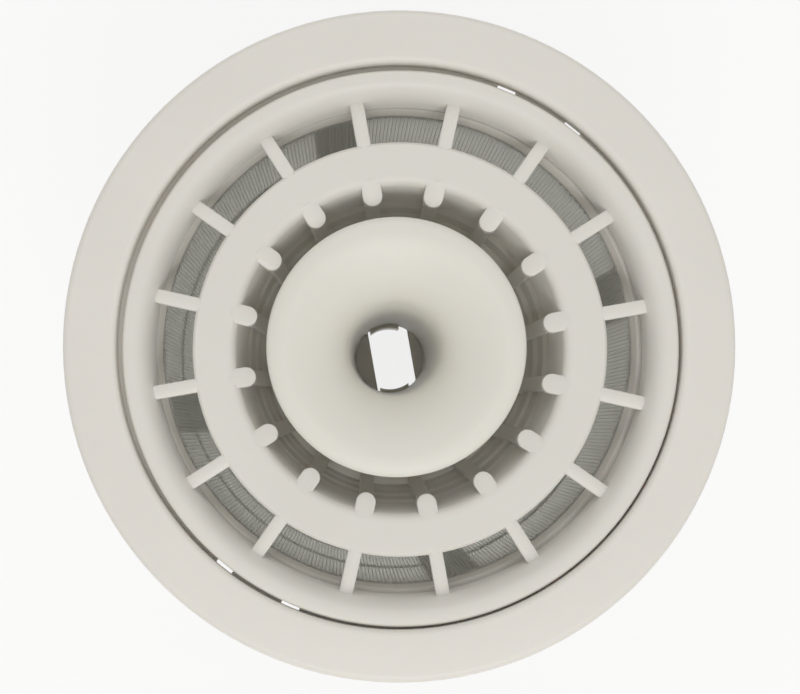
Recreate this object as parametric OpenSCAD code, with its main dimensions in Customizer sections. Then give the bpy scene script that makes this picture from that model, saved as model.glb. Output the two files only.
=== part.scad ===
// Round two-piece dishwasher filter: a fine mesh filter with a coarse strainer
// and its funnel-shaped lifting handle. It stands on its base ring, on Z = 0.

/* [Frame] */
// Height from the base to the top of the flange
filter_h = 92; // [84:1:110]
// Outside diameter of the flange
flange_d = 135; // [128:0.5:150]
// Thickness of the flange
flange_t = 2.4; // [2:0.1:3]
// Depth of the turned-down outer edge of the flange
flange_edge_h = 4.6; // [3.6:0.1:8]
// Fall of the flange's top from the seat to the outer edge
flange_fall = 0.5; // [0.1:0.1:0.9]
// Radius of the flange's outer edge
flange_round = 1.7; // [1:0.1:1.9]
// Radius of the edge round the seat
seat_round = 1.2; // [0.6:0.1:1.6]
// Depth of the seat's ledge under the top of the flange
seat_depth = 4.4; // [3.8:0.1:6]
// Thickness of the seat, neck and ledge
seat_wall = 2.2; // [1.8:0.1:2.6]
// Height of the solid band above the mesh, from the top of the flange
neck_depth = 15.5; // [14:0.5:20]
// Depth of the step inside the neck
step_depth = 11.6; // [11:0.1:12.4]
// Width of the step
step_w = 3.4; // [2.6:0.1:3.8]

/* [Ledge slots] */
// Width of each slot through the ledge
slot_w = 3.9; // [2.5:0.1:5]
// Angle between the two slots of a pair
slot_angle = 15.7; // [12:0.1:24]
// Direction of the pairs of slots, from the middle of a post
slot_turn = 45; // [20:1:70]
// How far each slot cuts into the wall of the seat
slot_cut = 0.4; // [0.2:0.1:1]

/* [Mesh cage] */
// Inside diameter of the mesh
mesh_d = 96.8; // [90:0.2:97.6]
// Thickness of the mesh
mesh_t = 0.4; // [0.3:0.05:0.6]
// Height of the mesh hidden behind the bands above and below it
mesh_tuck = 2; // [1:0.1:2.5]
// Thickness of the posts, the hoop and the base ring
cage_t = 2.6; // [2:0.1:3.4]
// Number of posts
post_count = 4; // [3:1:6]
// Width of each post
post_w = 10.7; // [6:0.1:14]
// Height of the hoop between the two rows of windows
hoop_h = 4; // [3:0.5:6]
// Depth of the middle of the hoop under the top of the flange
hoop_depth = 48.5; // [44:0.5:54]
// Height of the base ring
base_h = 8; // [6:0.5:12]
// How far the foot of the base ring stands out
foot_out = 1.4; // [0.8:0.1:2]
// Height of the foot
foot_h = 2.4; // [2:0.1:3]
// Bevel along the foot's lower edge
foot_bevel = 0.5; // [0.2:0.1:0.8]

/* [Strainer dish] */
// Diameter of the strainer's rim
rim_d = 111.8; // [111:0.1:114]
// Depth of the rim's top under the top of the flange
rim_drop = 1.4; // [0.8:0.1:1.8]
// Radius of the rim's outer edge
rim_round = 0.8; // [0.4:0.1:1]
// Width of the flat top of the rim
rim_flat = 0.8; // [0.8:0.1:1.6]
// Outside diameter of the skirt
skirt_d = 104.4; // [103:0.1:105]
// Wall of the skirt
skirt_t = 1.9; // [1.5:0.1:2.2]
// Depth of the skirt's lower edge under the rim
skirt_depth = 8.6; // [8:0.1:9]
// How far the skirt's lower edge tapers in
skirt_draft = 0.3; // [0:0.1:0.6]
// Thickness of the root that joins the skirt to the rim
rim_root = 0.3; // [0.1:0.1:0.4]
// Depth of the dish's curve under the rim
dish_depth = 6.6; // [5:0.1:7.2]
// Depth of the spokes and the middle ring under the rim
web_drop = 3.6; // [3:0.1:4.4]
// Number of spokes, and of bars in the basket
spoke_count = 16; // [12:1:18]
// Width of each spoke
spoke_w = 2.8; // [2:0.1:3.4]
// Height of each spoke
spoke_h = 3; // [2.4:0.1:4]
// Outside diameter of the middle ring
ring_d = 84.2; // [80:0.2:88]
// Thickness of the middle ring
ring_t = 2.2; // [1.8:0.1:2.6]
// Radius of the middle ring's inner edge
ring_round = 2.2; // [1.2:0.1:2.2]
// Bevel along the middle ring's outer edge
ring_bevel = 0.5; // [0.2:0.1:0.9]
// Width of the fillet between the middle ring and the basket's wall
ring_fillet = 1; // [0.5:0.1:1.5]

/* [Basket] */
// Inside diameter of the basket's mouth
mouth_d = 66.6; // [65:0.2:68]
// Inside diameter at the lower edge of the solid wall
wall_d = 63; // [62:0.2:64]
// Inside diameter at the floor
floor_d = 57.2; // [55:0.2:60]
// Thickness of the basket's wall
basket_t = 1.8; // [1.4:0.1:2]
// Height of the solid wall under the middle ring's top
wall_h = 10.5; // [8:0.5:13]
// Number of hoops round the basket
ledge_count = 3; // [2:1:4]
// Height of each hoop of the basket
ledge_h = 6.5; // [5:0.1:7.5]
// Height of the open slots between the hoops
gap_h = 4.5; // [3:0.1:5]
// Sloped inner edge along the top of each hoop
ledge_slope = 1; // [0.4:0.1:1.2]
// Thickness of the floor
floor_t = 2; // [1.6:0.1:2.6]
// Width of each bar
bar_w = 3; // [2:0.1:3.4]
// How far the bars stand inside the wall
bar_proud = 1.5; // [1:0.1:2]
// Width of the rounded head of each bar
head_w = 4; // [3.6:0.1:4.6]
// Radial length of the head
head_l = 6; // [5:0.1:7]
// Fall of the head from the middle ring to its inner end
head_fall = 2; // [1:0.1:2.6]
// Thickness of the head
head_t = 2.6; // [2:0.1:3]
// Radius across the top of the head
head_crown = 5.6; // [3:0.1:9]

/* [Handle] */
// Diameter of the funnel's rim
funnel_d = 52.6; // [48:0.2:54]
// Depth of the funnel's crest under the top of the flange
funnel_drop = 2; // [1:0.1:4]
// Width of the crowned lip
lip_w = 3.9; // [3:0.1:5]
// Fall of the lip from its crest to its outer edge
lip_fall = 1.8; // [1:0.1:2.2]
// Width of the shallow band inside the lip
band_w = 1.8; // [1:0.1:2.4]
// Fall of the shallow band
band_fall = 0.6; // [0.3:0.1:1]
// Inside diameter of the throat
throat_d = 19.2; // [16:0.2:22]
// Height of the bell from the throat to the shallow band
bell_h = 13.5; // [11:0.5:18]
// Inside diameter at the foot of the tube
tube_d = 15.8; // [15.4:0.1:16.6]
// Wall of the funnel and the tube
funnel_t = 1.8; // [1.4:0.1:2.2]
// Height of the folded rim under the lip
fold_h = 2.5; // [2:0.1:4]
// Distance between the flats of the opening in the floor
flats_w = 9.2; // [8.4:0.1:10]
// Radius of the opening's round ends
opening_r = 9.4; // [9.3:0.1:9.8]
// Radius inside the two snap legs
leg_r = 7.2; // [6.8:0.1:7.3]
// Thickness of the snap legs
leg_t = 1.2; // [1:0.1:1.3]
// Width of the snap legs
leg_w = 6.6; // [5:0.1:7]
// Height of the barbs under the floor
barb_h = 3; // [2:0.1:4]
// How far the barbs reach out from the inside of the legs
barb_out = 2.9; // [2.7:0.1:3.3]
// Height of the barbs' upright edge
barb_edge = 0.6; // [0.4:0.1:1]
// Thickness of the legs at their tips
tip_t = 0.7; // [0.5:0.1:1]

/* [Fits] */
// Gap round the strainer's rim
rim_gap = 0.9; // [0.8:0.05:1.2]
// Gap round the strainer's skirt
skirt_gap = 0.9; // [0.8:0.05:1.2]
// Gap over the barbs
barb_gap = 0.2; // [0.1:0.05:0.4]
// Turn of the frame about the axis
frame_turn = 14.4; // [0:0.1:90]
// Turn of the strainer about the axis
strainer_turn = 10; // [0:0.1:22.5]
// How far the strainer lies to one side in its seat, along X
strainer_x = 0.28; // [-0.3:0.01:0.3]
// How far the strainer lies to one side in its seat, along Y
strainer_y = -0.39; // [-0.4:0.01:0.4]
// How far the handle lies to one side in the strainer, along X
handle_x = -0.75; // [-0.8:0.01:0.8]
// How far the handle lies to one side in the strainer, along Y
handle_y = 0.4; // [-0.4:0.01:0.4]

/* [Hidden] */
$fn = 96;
plastic = [0.87, 0.85, 0.81];
handle_plastic = [0.89, 0.87, 0.83];
mesh_cloth = [0.80, 0.80, 0.77];
// Overlap by which joined solids reach into each other
bond = 0.3;
// How far a cutter passes the faces that it cuts
past = 1;
// Steps along an edge's curve, and along a long curve
edge_steps = 6;
long_steps = 14;

// Radii and heights of the frame
flange_r = flange_d / 2;
rim_r = rim_d / 2;
seat_r = rim_r + rim_gap;
skirt_r = skirt_d / 2;
neck_r = skirt_r + skirt_gap;
neck_out_r = neck_r + seat_wall;
mesh_r = mesh_d / 2;
cage_r = mesh_r + mesh_t;
cage_out_r = cage_r + cage_t;
seat_z = filter_h - seat_depth;
ledge_low_z = seat_z - seat_wall;
neck_low_z = filter_h - neck_depth;
step_z = filter_h - step_depth;
hoop_low_z = filter_h - hoop_depth - hoop_h / 2;
edge_z = filter_h - flange_fall;
foot_r = cage_out_r + foot_out;

// Radii and heights of the strainer
rim_z = filter_h - rim_drop;
skirt_low_z = rim_z - skirt_depth;
lip_r = skirt_r - skirt_t;
dish_r = rim_r - rim_round - rim_flat;
web_z = rim_z - web_drop;
ring_r = ring_d / 2;
wall_low_z = web_z - wall_h;
ledge_pitch = ledge_h + gap_h;
floor_z = wall_low_z - gap_h - ledge_count * ledge_pitch;
mouth_r = mouth_d / 2;
wall_r = wall_d / 2;
floor_r = floor_d / 2;

// Radii and heights of the handle
crest_z = filter_h - funnel_drop;
funnel_r = funnel_d / 2;
crest_r = funnel_r - lip_w;
band_r = crest_r - band_w;
lip_low_z = crest_z - lip_fall;
fold_z = lip_low_z - fold_h;
throat_z = crest_z - band_fall - bell_h;
throat_r = throat_d / 2;
tube_r = tube_d / 2;
// The bell is a part of an ellipse's quarter, and the lip is another
bell_sweep = 45;
lip_top_angle = 80;
lip_edge_angle = 14;

// Points of an arc about [x, y], from angle a to angle b
function arc(x, y, rx, ry, a, b, steps) =
    [for (i = [0:steps]) let (t = a + (b - a) * i / steps) [x + rx * cos(t), y + ry * sin(t)]];

// Inside radius of the basket at a height below the solid wall
function basket_r(z) = floor_r + (wall_r - floor_r) * (z - floor_z) / (wall_low_z - floor_z);

// Copies of the children, evenly round the axis
module around(count) {
    for (i = [0:count - 1])
        rotate(i * 360 / count) children();
}

module ring(r_out, r_in, low, height) {
    translate([0, 0, low])
        difference() {
            cylinder(h = height, r = r_out);
            translate([0, 0, -past]) cylinder(h = height + 2 * past, r = r_in);
        }
}

// Section of the flange, the seat and the neck, down to the first windows
module neck_section() {
    polygon(concat(
        [[seat_r, seat_z]],
        arc(seat_r + seat_round, filter_h - seat_round, seat_round, seat_round, 180, 90, edge_steps),
        arc(flange_r - flange_round, edge_z - flange_round, flange_round, flange_round, 90, 0, edge_steps),
        [[flange_r, filter_h - flange_edge_h],
         [flange_r - flange_t, filter_h - flange_edge_h],
         [flange_r - flange_t, edge_z - flange_t],
         [seat_r + seat_wall, filter_h - flange_t],
         [seat_r + seat_wall, ledge_low_z],
         [neck_out_r, ledge_low_z],
         [neck_out_r, step_z - seat_wall],
         [cage_out_r, neck_low_z],
         [cage_r, neck_low_z],
         [cage_r, neck_low_z + mesh_tuck],
         [neck_r - step_w, step_z],
         [neck_r, step_z],
         [neck_r, seat_z]]));
}

module posts() {
    intersection() {
        ring(cage_out_r, cage_r, base_h - bond, neck_low_z - base_h + 2 * bond);
        around(post_count)
            translate([mesh_r - post_w / 2, -post_w / 2, 0])
                cube([post_w + cage_t, post_w, filter_h]);
    }
}

module base_section() {
    polygon([
        [mesh_r, 0], [foot_r - foot_bevel, 0], [foot_r, foot_bevel],
        [foot_r, foot_h], [cage_out_r, foot_h + foot_out],
        [cage_out_r, base_h], [cage_r, base_h],
        [cage_r, base_h - mesh_tuck], [mesh_r, base_h - mesh_tuck]]);
}

module ledge_slots() {
    in_r = neck_out_r + bond;
    for (side = [slot_turn, slot_turn + 180], turn = [-slot_angle / 2, slot_angle / 2])
        rotate(side + turn)
            translate([in_r, -slot_w / 2, ledge_low_z - past])
                cube([seat_r + slot_cut - in_r, slot_w, seat_wall + 2 * past]);
}

module filter_frame() {
    color(plastic)
        rotate(frame_turn)
            difference() {
                union() {
                    rotate_extrude() neck_section();
                    rotate_extrude() base_section();
                    ring(cage_out_r, cage_r, hoop_low_z, hoop_h);
                    posts();
                }
                ledge_slots();
            }
}

module mesh_sleeve() {
    color(mesh_cloth)
        ring(cage_r, mesh_r, base_h - mesh_tuck, neck_low_z - base_h + 2 * mesh_tuck);
}

// Section of the strainer's rim, dish and skirt
module dish_section() {
    polygon(concat(
        [[rim_r, seat_z]],
        arc(rim_r - rim_round, rim_z - rim_round, rim_round, rim_round, 0, 90, edge_steps),
        arc(dish_r, rim_z - dish_depth, dish_r - lip_r, dish_depth, 90, 180, long_steps),
        [[lip_r - skirt_draft, skirt_low_z], [skirt_r - skirt_draft, skirt_low_z],
         [skirt_r, rim_z - dish_depth], [skirt_r + rim_root, seat_z]]));
}

// Section of the middle ring and the basket's solid wall
module ring_section() {
    polygon(concat(
        [[ring_r, web_z - ring_t], [ring_r, web_z - ring_bevel], [ring_r - ring_bevel, web_z]],
        arc(mouth_r + ring_round, web_z - ring_round, ring_round, ring_round, 90, 180, edge_steps),
        [[wall_r, wall_low_z], [wall_r + basket_t, wall_low_z],
         [mouth_r + basket_t, web_z - ring_t - ring_fillet],
         [mouth_r + basket_t + ring_fillet, web_z - ring_t]]));
}

// Section of one hoop of the basket, with its top at height z
module ledge_section(z) {
    top_r = basket_r(z);
    low_r = basket_r(z - ledge_h);
    polygon([
        [top_r + basket_t, z], [top_r + ledge_slope, z], [top_r, z - ledge_slope],
        [low_r, z - ledge_h], [low_r + basket_t, z - ledge_h]]);
}

module basket_floor() {
    difference() {
        translate([0, 0, floor_z - floor_t]) cylinder(h = floor_t, r = floor_r + basket_t);
        intersection() {
            translate([0, 0, floor_z - floor_t - past]) cylinder(h = floor_t + 2 * past, r = opening_r);
            cube([flats_w, 4 * opening_r, 4 * filter_h], center = true);
        }
    }
}

// One spoke, from the middle ring to the skirt, crowned across its width
module spoke() {
    in_r = ring_r - ring_bevel - bond;
    translate([in_r, 0, web_z])
        rotate([90, 0, 90])
            linear_extrude(height = skirt_r - bond - in_r)
                intersection() {
                    translate([0, -spoke_h / 2]) square([spoke_w, spoke_h], center = true);
                    translate([0, -spoke_w]) circle(r = spoke_w);
                }
}

// Radial section of one bar, from the middle ring down to the floor
module bar_section() {
    head_r = mouth_r + ring_round + bond - head_l;
    polygon([
        [mouth_r + basket_t / 2, web_z - ring_round],
        [head_r + bar_proud, web_z - ring_round],
        [wall_r - bar_proud, wall_low_z],
        [floor_r - bar_proud, floor_z],
        [floor_r + basket_t, floor_z - bond],
        [wall_r + basket_t, wall_low_z + bond]]);
}

module bar() {
    translate([0, bar_w / 2, 0])
        rotate([90, 0, 0])
            linear_extrude(height = bar_w) bar_section();
}

// Rounded head of one bar, crowned across its width
module bar_head() {
    out_r = mouth_r + ring_round + bond;
    tip_r = out_r - head_l + head_w / 2;
    tilt = atan(head_fall / head_l);
    intersection() {
        translate([0, 0, web_z - head_fall - head_t])
            linear_extrude(height = head_fall + head_t + past)
                union() {
                    translate([tip_r, -head_w / 2]) square([out_r - tip_r, head_w]);
                    translate([tip_r, 0]) circle(r = head_w / 2);
                }
        translate([out_r, 0, web_z - head_crown])
            rotate([0, -90 - tilt, 0])
                translate([0, 0, -past]) cylinder(h = head_l * 2, r = head_crown);
    }
}

module coarse_strainer() {
    color(plastic)
        translate([strainer_x, strainer_y, 0])
            rotate(strainer_turn) {
                rotate_extrude() dish_section();
                rotate_extrude() ring_section();
                for (i = [0:ledge_count - 1])
                    rotate_extrude() ledge_section(wall_low_z - gap_h - i * ledge_pitch);
                basket_floor();
                around(spoke_count) {
                    spoke();
                    bar();
                    bar_head();
                }
            }
}

// Section of the funnel and its tube
module funnel_section() {
    bell_w = (band_r - throat_r) / (1 - cos(bell_sweep));
    bell_rise = bell_h / sin(bell_sweep);
    bell_x = throat_r + bell_w;
    polygon(concat(
        [[tube_r, floor_z]],
        arc(bell_x, throat_z, -bell_w, bell_rise, 0, bell_sweep, long_steps),
        [[crest_r, crest_z]],
        arc(crest_r, lip_low_z, lip_w, lip_fall, lip_top_angle, lip_edge_angle, edge_steps),
        [[funnel_r, lip_low_z], [funnel_r, fold_z], [funnel_r - funnel_t, fold_z],
         [funnel_r - funnel_t, lip_low_z - funnel_t / 2],
         [crest_r, crest_z - funnel_t]],
        arc(bell_x, throat_z - funnel_t / 2, funnel_t - bell_w, bell_rise, bell_sweep, 0, long_steps),
        [[tube_r + funnel_t, floor_z]]));
}

module snap_leg() {
    barb_z = floor_z - floor_t - barb_gap;
    low_z = barb_z - barb_h;
    root_z = floor_z + funnel_t;
    intersection() {
        rotate_extrude()
            polygon([
                [leg_r, root_z], [leg_r, low_z], [leg_r + tip_t, low_z],
                [leg_r + barb_out, barb_z - barb_edge], [leg_r + barb_out, barb_z],
                [leg_r + leg_t, barb_z], [leg_r + leg_t, root_z]]);
        translate([-leg_w / 2, 0, low_z - past]) cube([leg_w, leg_r + 2 * barb_out, filter_h]);
    }
}

module funnel_handle() {
    color(handle_plastic)
        translate([strainer_x + handle_x, strainer_y + handle_y, 0])
            rotate(strainer_turn) {
                rotate_extrude() funnel_section();
                around(2) snap_leg();
            }
}

filter_frame();
mesh_sleeve();
coarse_strainer();
funnel_handle();
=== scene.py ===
"""Looks of a round dishwasher filter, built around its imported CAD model.

The rigid mouldings stay as the CAD makes them and get moulded polypropylene.
The plain sleeve is replaced by a screen of woven nylon threads.
All lengths are in metres unless a name ends in _mm.
"""

from __future__ import annotations

import logging
import math
from dataclasses import dataclass, field
from enum import Enum

import bpy
import numpy as np
from mathutils import Matrix, Vector

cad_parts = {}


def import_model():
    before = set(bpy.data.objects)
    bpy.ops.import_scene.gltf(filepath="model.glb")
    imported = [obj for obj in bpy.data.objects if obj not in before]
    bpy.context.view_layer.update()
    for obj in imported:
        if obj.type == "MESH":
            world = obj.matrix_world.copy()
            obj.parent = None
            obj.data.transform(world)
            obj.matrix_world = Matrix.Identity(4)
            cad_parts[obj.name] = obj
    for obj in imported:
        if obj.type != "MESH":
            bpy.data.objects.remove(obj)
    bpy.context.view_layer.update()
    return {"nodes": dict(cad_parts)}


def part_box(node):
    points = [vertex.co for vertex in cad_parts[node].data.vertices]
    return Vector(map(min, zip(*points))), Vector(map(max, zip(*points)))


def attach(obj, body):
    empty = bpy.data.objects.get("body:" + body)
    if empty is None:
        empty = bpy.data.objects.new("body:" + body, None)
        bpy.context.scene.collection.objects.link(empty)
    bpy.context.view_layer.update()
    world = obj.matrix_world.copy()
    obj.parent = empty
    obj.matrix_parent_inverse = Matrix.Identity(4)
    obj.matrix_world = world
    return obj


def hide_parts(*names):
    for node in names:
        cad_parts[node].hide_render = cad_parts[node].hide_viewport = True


LOG = logging.getLogger("filter")
MM = 0.001


class Body(Enum):
    """Rigid bodies of the filter."""

    FILTER = "filter"
    STRAINER = "strainer"


def linear(srgb_hex: str) -> tuple[float, float, float, float]:
    """Turns an sRGB hex colour to linear values.

    Args:
        srgb_hex: colour as "#rrggbb".

    Returns:
        Linear red, green, blue and an alpha of 1.
    """
    parts = [int(srgb_hex[i : i + 2], 16) / 255 for i in (1, 3, 5)]
    low_end = 0.04045
    values = [c / 12.92 if c <= low_end else ((c + 0.055) / 1.055) ** 2.4 for c in parts]
    return (values[0], values[1], values[2], 1.0)


def add_node(tree: bpy.types.NodeTree, kind: str, links: dict | None = None, **settings) -> bpy.types.Node:
    """Adds one node with its settings, socket values and links.

    Args:
        tree: node tree that takes the node.
        kind: Blender's name for the node's type.
        links: input socket to a value, or to an output socket that feeds it.
        settings: attributes of the node itself.

    Returns:
        The new node.
    """
    node = tree.nodes.new(kind)
    for name, value in settings.items():
        setattr(node, name, value)
    for socket, value in (links or {}).items():
        if isinstance(value, bpy.types.NodeSocket):
            tree.links.new(value, node.inputs[socket])
        else:
            node.inputs[socket].default_value = value
    return node


def new_material(name: str) -> bpy.types.Material:
    """Makes an empty material with a node tree.

    Args:
        name: the material's name.

    Returns:
        The material, with no nodes in it.
    """
    material = bpy.data.materials.new(name)
    material.use_nodes = True
    material.node_tree.nodes.clear()
    return material


def frequency(size_mm: float) -> float:
    """Noise scale, in cells a metre, whose cells measure size_mm."""
    return 1 / (size_mm * MM)


@dataclass(frozen=True)
class MouldedPolypropylene:
    """Polypropylene, injection moulded in a satin mould.

    It looks like pale ivory plastic with a soft, wide sheen. Light enters it a little,
    so that its shadows are warm and its thin edges glow.
    """

    name: str
    base_hex: str
    shade_hex: str
    cloud_mm: float = 24.0
    grain_mm: float = 0.5
    grain_depth_mm: float = 0.006
    edge_mm: float = 0.35
    roughness: float = 0.46
    sheen_spread: float = 0.06
    depth_mm: float = 1.1
    ior: float = 1.49

    def build(self) -> bpy.types.Material:
        """Builds the plastic's nodes.

        Returns:
            The material.
        """
        material = new_material(self.name)
        tree = material.node_tree
        place = add_node(tree, "ShaderNodeTexCoord").outputs["Object"]
        clouds = add_node(
            tree,
            "ShaderNodeTexNoise",
            {"Vector": place, "Scale": frequency(self.cloud_mm), "Detail": 4.0, "Roughness": 0.55},
        )
        colour = add_node(
            tree,
            "ShaderNodeMix",
            {0: clouds.outputs["Fac"], 6: linear(self.shade_hex), 7: linear(self.base_hex)},
            data_type="RGBA",
        )
        sheen = add_node(
            tree,
            "ShaderNodeMapRange",
            {
                "Value": clouds.outputs["Fac"],
                "To Min": self.roughness - self.sheen_spread,
                "To Max": self.roughness + self.sheen_spread,
            },
        )
        grain = add_node(
            tree,
            "ShaderNodeTexNoise",
            {"Vector": place, "Scale": frequency(self.grain_mm), "Detail": 3.0, "Roughness": 0.6},
        )
        edges = add_node(tree, "ShaderNodeBevel", {"Radius": self.edge_mm * MM}, samples=6)
        bump = add_node(
            tree,
            "ShaderNodeBump",
            {
                "Height": grain.outputs["Fac"],
                "Distance": self.grain_depth_mm * MM,
                "Strength": 1.0,
                "Normal": edges.outputs["Normal"],
            },
        )
        plastic = add_node(
            tree,
            "ShaderNodeBsdfPrincipled",
            {
                "Base Color": colour.outputs[2],
                "Roughness": sheen.outputs["Result"],
                "IOR": self.ior,
                "Subsurface Weight": 0.35,
                "Subsurface Radius": (1.0, 0.85, 0.6),
                "Subsurface Scale": self.depth_mm * MM,
                "Normal": bump.outputs["Normal"],
            },
        )
        add_node(tree, "ShaderNodeOutputMaterial", {"Surface": plastic.outputs["BSDF"]})
        return material


@dataclass(frozen=True)
class WovenNylon:
    """Clear nylon monofilament, woven to a screen and dulled by washing.

    Each thread is a pale grey rod that passes some of the light behind it.
    """

    name: str = "nylon_monofilament_woven"
    base_hex: str = "#e9e9e4"
    through_hex: str = "#f6f6f2"
    through_share: float = 0.45
    roughness: float = 0.4
    ior: float = 1.53

    def build(self) -> bpy.types.Material:
        """Builds the thread's nodes.

        Returns:
            The material.
        """
        material = new_material(self.name)
        tree = material.node_tree
        place = add_node(tree, "ShaderNodeTexCoord").outputs["Object"]
        age = add_node(tree, "ShaderNodeTexNoise", {"Vector": place, "Scale": frequency(9.0), "Detail": 3.0})
        colour = add_node(
            tree,
            "ShaderNodeMix",
            {0: age.outputs["Fac"], 6: linear("#dcdcd5"), 7: linear(self.base_hex)},
            data_type="RGBA",
        )
        thread = add_node(
            tree,
            "ShaderNodeBsdfPrincipled",
            {"Base Color": colour.outputs[2], "Roughness": self.roughness, "IOR": self.ior},
        )
        through = add_node(tree, "ShaderNodeBsdfTranslucent", {"Color": linear(self.through_hex)})
        mixed = add_node(
            tree,
            "ShaderNodeMixShader",
            {0: self.through_share, 1: thread.outputs["BSDF"], 2: through.outputs["BSDF"]},
        )
        add_node(tree, "ShaderNodeOutputMaterial", {"Surface": mixed.outputs["Shader"]})
        return material


@dataclass
class Moulding:
    """One rigid moulding: the CAD solid, shaded smoothly and dressed in plastic."""

    node: str
    finish: MouldedPolypropylene
    crease_deg: float = 24.0
    weld_mm: float = 0.002

    def smooth_shading(self) -> bpy.types.NodeTree:
        """Builds the modifier that shades curved faces as one and keeps the creases.

        Returns:
            The geometry node group. It moves no point.
        """
        tree = bpy.data.node_groups.new("smooth_" + self.node, "GeometryNodeTree")
        tree.interface.new_socket("Geometry", in_out="INPUT", socket_type="NodeSocketGeometry")
        tree.interface.new_socket("Geometry", in_out="OUTPUT", socket_type="NodeSocketGeometry")
        solid = add_node(tree, "NodeGroupInput").outputs[0]
        welded = add_node(
            tree, "GeometryNodeMergeByDistance", {"Geometry": solid, "Distance": self.weld_mm * MM}
        )
        bare = add_node(
            tree, "GeometryNodeRemoveAttribute", {"Geometry": welded.outputs[0], "Name": "custom_normal"}
        )
        faces = add_node(
            tree, "GeometryNodeSetShadeSmooth", {"Geometry": bare.outputs[0], "Shade Smooth": True}, domain="FACE"
        )
        angle = add_node(tree, "GeometryNodeInputMeshEdgeAngle").outputs["Unsigned Angle"]
        flat_enough = add_node(
            tree,
            "FunctionNodeCompare",
            {0: angle, 1: math.radians(self.crease_deg)},
            data_type="FLOAT",
            operation="LESS_THAN",
        )
        edges = add_node(
            tree,
            "GeometryNodeSetShadeSmooth",
            {"Geometry": faces.outputs[0], "Shade Smooth": flat_enough.outputs[0]},
            domain="EDGE",
        )
        add_node(tree, "NodeGroupOutput", {0: edges.outputs[0]})
        return tree

    def dress(self, nodes: dict[str, bpy.types.Object]) -> bpy.types.Object:
        """Gives the CAD node its shading and its plastic.

        Args:
            nodes: CAD nodes by name.

        Returns:
            The dressed node.
        """
        solid = nodes[self.node]
        modifier = solid.modifiers.new("smooth", "NODES")
        modifier.node_group = self.smooth_shading()
        solid.data.materials.clear()
        solid.data.materials.append(self.finish.build())
        return solid


@dataclass
class Screen:
    """The sleeve of woven threads that lines the frame behind its posts."""

    node: str = "mesh_sleeve"
    pitch_mm: float = 0.8
    thread_mm: float = 0.30
    sides: int = 3
    sectors: int = 4
    finish: WovenNylon = field(default_factory=WovenNylon)

    def measure(self) -> None:
        """Takes the sleeve's radius and its lowest and highest level from the CAD."""
        low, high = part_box(self.node)
        wall = 0.2 * MM
        self.radius = high.x - wall
        self.low_z = low.z
        self.high_z = high.z
        self.columns = self.sectors * round(math.tau * self.radius / (self.pitch_mm * MM) / self.sectors)
        self.rows = round((self.high_z - self.low_z) / (self.pitch_mm * MM))

    def tube(self, line: np.ndarray, across: np.ndarray, up: np.ndarray) -> tuple[np.ndarray, np.ndarray]:
        """Sweeps a thread's section along many lines at once.

        Args:
            line: points of the lines, shaped (lines, points, 3).
            across: unit vectors across each line, of the same shape.
            up: unit vectors at right angles to both, of the same shape.

        Returns:
            The corners, shaped (n, 3), and the quads, shaped (m, 4).
        """
        lines, points, _ = line.shape
        half = self.thread_mm * MM / 2
        turns = [math.tau * k / self.sides for k in range(self.sides)]
        ring = [line + half * (math.cos(t) * across + math.sin(t) * up) for t in turns]
        corners = np.stack(ring, axis=2).reshape(-1, 3)
        first = np.arange(lines)[:, None, None] * points * self.sides
        along = np.arange(points - 1)[None, :, None] * self.sides
        side = np.arange(self.sides)[None, None, :]
        after = (side + 1) % self.sides
        a = first + along + side
        b = first + along + after
        quads = np.stack([a, b, b + self.sides, a + self.sides], axis=-1).reshape(-1, 4)
        return corners, quads

    def weave(self, sector: int) -> tuple[np.ndarray, np.ndarray]:
        """Lays out the upright and the level threads of one sector.

        Args:
            sector: which part of the turn.

        Returns:
            The corners and the quads of all its threads.
        """
        count = self.columns // self.sectors
        first = sector * count
        sway = self.thread_mm * MM / 2
        levels = self.low_z + (np.arange(self.rows + 1) + 0.5) * (self.high_z - self.low_z) / (self.rows + 1)
        turn_step = math.tau / self.columns

        column, row = np.meshgrid(np.arange(first, first + count), np.arange(self.rows + 1), indexing="ij")
        out = self.radius + sway * np.where((column + row) % 2 == 0, 1, -1)
        turn = column * turn_step
        upright = np.stack([out * np.cos(turn), out * np.sin(turn), levels[row]], axis=-1)
        radial = np.stack([np.cos(turn), np.sin(turn), np.zeros_like(turn)], axis=-1)
        around = np.stack([-np.sin(turn), np.cos(turn), np.zeros_like(turn)], axis=-1)
        corners, quads = self.tube(upright, radial, around)

        row, column = np.meshgrid(np.arange(self.rows + 1), np.arange(first, first + count + 1), indexing="ij")
        out = self.radius - sway * np.where((column + row) % 2 == 0, 1, -1)
        turn = column * turn_step
        level = np.stack([out * np.cos(turn), out * np.sin(turn), levels[row]], axis=-1)
        radial = np.stack([np.cos(turn), np.sin(turn), np.zeros_like(turn)], axis=-1)
        vertical = np.broadcast_to(np.array([0.0, 0.0, 1.0]), level.shape)
        more, more_quads = self.tube(level, radial, vertical)
        return np.concatenate([corners, more]), np.concatenate([quads, more_quads + len(corners)])

    def build(self) -> list[bpy.types.Object]:
        """Builds the screen's sectors in place of the plain sleeve.

        Returns:
            One object for each sector.
        """
        self.measure()
        material = self.finish.build()
        pieces = []
        for sector in range(self.sectors):
            corners, quads = self.weave(sector)
            mesh = bpy.data.meshes.new(f"screen_{sector + 1}")
            mesh.from_pydata(corners.tolist(), [], quads.tolist())
            mesh.polygons.foreach_set("use_smooth", [True] * len(mesh.polygons))
            mesh.materials.append(material)
            piece = bpy.data.objects.new(mesh.name, mesh)
            bpy.context.scene.collection.objects.link(piece)
            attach(piece, Body.FILTER.value)
            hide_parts(self.node)
            pieces.append(piece)
        return pieces


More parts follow.
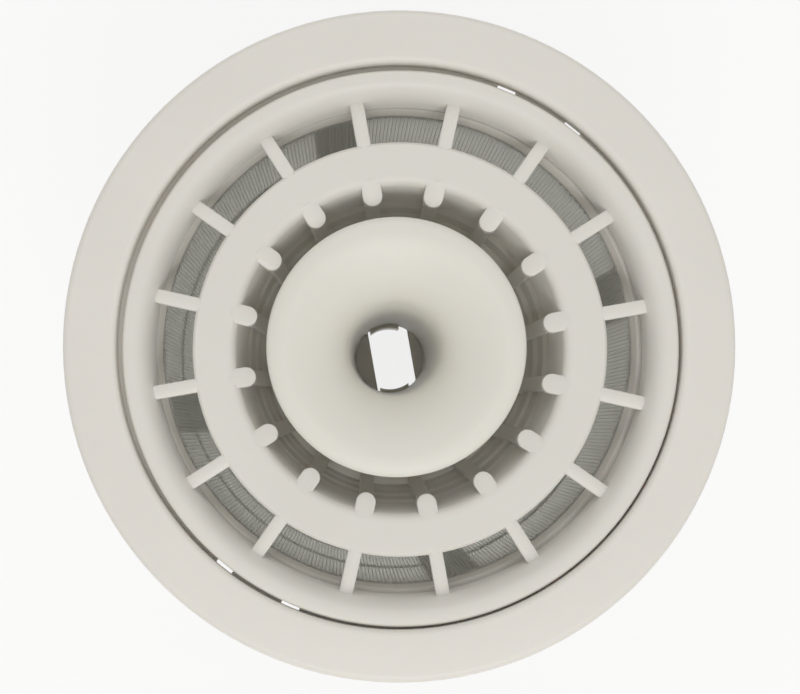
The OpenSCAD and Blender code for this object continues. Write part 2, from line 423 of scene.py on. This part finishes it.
@dataclass
class Viewpoint:
    """The camera that took the photograph, as its edges' shrinkage places it.

    It looks straight down, and the photograph is the upper right part of what it saw.
    """

    place_mm: tuple[float, float, float] = (-10.7, -17.0, 392.0)
    ahead: tuple[float, float, float] = (0.0, 0.0, -1.0)
    focal_mm: float = 67.7
    sensor_mm: float = 36.0
    below_px: tuple[float, float] = (345.8, 431.3)
    frame_px: tuple[float, float] = (800.0, 694.0)

    def build(self) -> bpy.types.Object:
        """Makes the scene's camera, with the photograph's top towards +Y.

        Returns:
            The camera.
        """
        data = bpy.data.cameras.new("camera")
        data.lens = self.focal_mm
        data.sensor_width = self.sensor_mm
        data.sensor_fit = "HORIZONTAL"
        data.clip_start = 0.01
        wide, high = self.frame_px
        data.shift_x = (wide / 2 - self.below_px[0]) / wide
        data.shift_y = (self.below_px[1] - high / 2) / wide
        camera = bpy.data.objects.new("camera", data)
        bpy.context.scene.collection.objects.link(camera)
        place = Vector(self.place_mm) * MM
        ahead = Vector(self.ahead)
        right = ahead.cross(Vector((0, 1, 0))).normalized()
        turn = Matrix((right, right.cross(ahead), -ahead)).transposed()
        camera.matrix_world = Matrix.Translation(place) @ turn.to_4x4()
        bpy.context.scene.camera = camera
        return camera


@dataclass
class SoftBox:
    """One rectangular studio lamp."""

    name: str
    place: tuple[float, float, float]
    size: tuple[float, float]
    watts: float
    colour_hex: str = "#ffffff"

    def build(self, target: Vector) -> bpy.types.Object:
        """Makes the lamp and points it.

        Args:
            target: point that the lamp faces.

        Returns:
            The lamp.
        """
        data = bpy.data.lights.new(self.name, "AREA")
        data.shape = "RECTANGLE"
        data.size, data.size_y = self.size
        data.energy = self.watts
        data.color = linear(self.colour_hex)[:3]
        lamp = bpy.data.objects.new(self.name, data)
        bpy.context.scene.collection.objects.link(lamp)
        lamp.location = self.place
        lamp.rotation_euler = (target - lamp.location).to_track_quat("-Z", "Y").to_euler()
        lamp.visible_camera = False
        return lamp


@dataclass
class Studio:
    """A pale table under soft light."""

    table_m: float = 3.0
    table_hex: str = "#f4f3f0"
    white_share: float = 0.8
    sky_strength: float = 0.62
    lamps: tuple[SoftBox, ...] = (
        SoftBox("key_lamp", (0.05, -0.55, 0.62), (0.5, 0.3), 2.0),
        SoftBox("back_lamp", (-0.02, 0.6, 0.55), (0.5, 0.3), 0.9),
    )

    def world(self) -> None:
        """Lights the table evenly from all round, and shows plain white behind it."""
        world = bpy.data.worlds.new("studio")
        bpy.context.scene.world = world
        world.use_nodes = True
        tree = world.node_tree
        tree.nodes.clear()
        rays = add_node(tree, "ShaderNodeLightPath").outputs
        seen = add_node(tree, "ShaderNodeMath", {0: rays["Is Camera Ray"], 1: rays["Is Glossy Ray"]}, operation="MAXIMUM")
        shown = add_node(tree, "ShaderNodeMath", {0: seen.outputs[0], 1: rays["Is Transmission Ray"]}, operation="MAXIMUM")
        strength = add_node(
            tree, "ShaderNodeMapRange", {"Value": shown.outputs[0], "To Min": self.sky_strength, "To Max": 1.0}
        )
        sky = add_node(tree, "ShaderNodeBackground", {"Color": linear("#ffffff"), "Strength": strength.outputs["Result"]})
        add_node(tree, "ShaderNodeOutputWorld", {"Surface": sky.outputs["Background"]})

    def table(self) -> bpy.types.Object:
        """Makes the table top.

        Returns:
            The table.
        """
        half = self.table_m / 2
        level = -0.05 * MM
        mesh = bpy.data.meshes.new("table")
        mesh.from_pydata(
            [(-half, -half, level), (half, -half, level), (half, half, level), (-half, half, level)],
            [],
            [(0, 1, 2, 3)],
        )
        material = new_material("painted_board")
        tree = material.node_tree
        rays = add_node(tree, "ShaderNodeLightPath").outputs
        seen = add_node(tree, "ShaderNodeMath", {0: rays["Is Camera Ray"], 1: rays["Is Glossy Ray"]}, operation="MAXIMUM")
        shown = add_node(tree, "ShaderNodeMath", {0: seen.outputs[0], 1: rays["Is Transmission Ray"]}, operation="MAXIMUM")
        share = add_node(tree, "ShaderNodeMath", {0: shown.outputs[0], 1: self.white_share}, operation="MULTIPLY")
        paint = add_node(tree, "ShaderNodeBsdfDiffuse", {"Color": linear(self.table_hex)})
        white = add_node(tree, "ShaderNodeEmission", {"Color": linear("#ffffff"), "Strength": 1.0})
        mixed = add_node(tree, "ShaderNodeMixShader", {0: share.outputs[0], 1: paint.outputs[0], 2: white.outputs[0]})
        add_node(tree, "ShaderNodeOutputMaterial", {"Surface": mixed.outputs["Shader"]})
        mesh.materials.append(material)
        board = bpy.data.objects.new("table", mesh)
        bpy.context.scene.collection.objects.link(board)
        return board

    def build(self, target: Vector) -> None:
        """Makes the table, the lamps and the light from all round.

        Args:
            target: point that the lamps face.
        """
        self.world()
        self.table()
        for lamp in self.lamps:
            lamp.build(target)
        bpy.context.scene.view_settings.view_transform = "Standard"


def corners(box: tuple) -> list[list[float]]:
    """A box's two corners as plain lists of numbers."""
    return [[float(value) for value in corner] for corner in box]


def main() -> None:
    """Builds the filter's looks around the frame."""
    logging.basicConfig(level=logging.INFO, format="%(name)s: %(message)s")
    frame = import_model()
    Viewpoint().build()
    middle = Vector((0.0, 0.0, 70 * MM))
    Studio().build(middle)
    mouldings = (
        Moulding("filter_frame", MouldedPolypropylene("polypropylene_frame", "#e3dfd7", "#dedad2")),
        Moulding("coarse_strainer", MouldedPolypropylene("polypropylene_strainer", "#e0ddd5", "#dbd7cf")),
        Moulding("funnel_handle", MouldedPolypropylene("polypropylene_handle", "#e3e0d7", "#dfdcd2")),
    )
    for moulding in mouldings:
        LOG.info("dressed %s", moulding.dress(frame["nodes"]).name)
    for piece in Screen().build():
        LOG.info("built %s, %d faces", piece.name, len(piece.data.polygons))


if __name__ == "__main__":
    main()
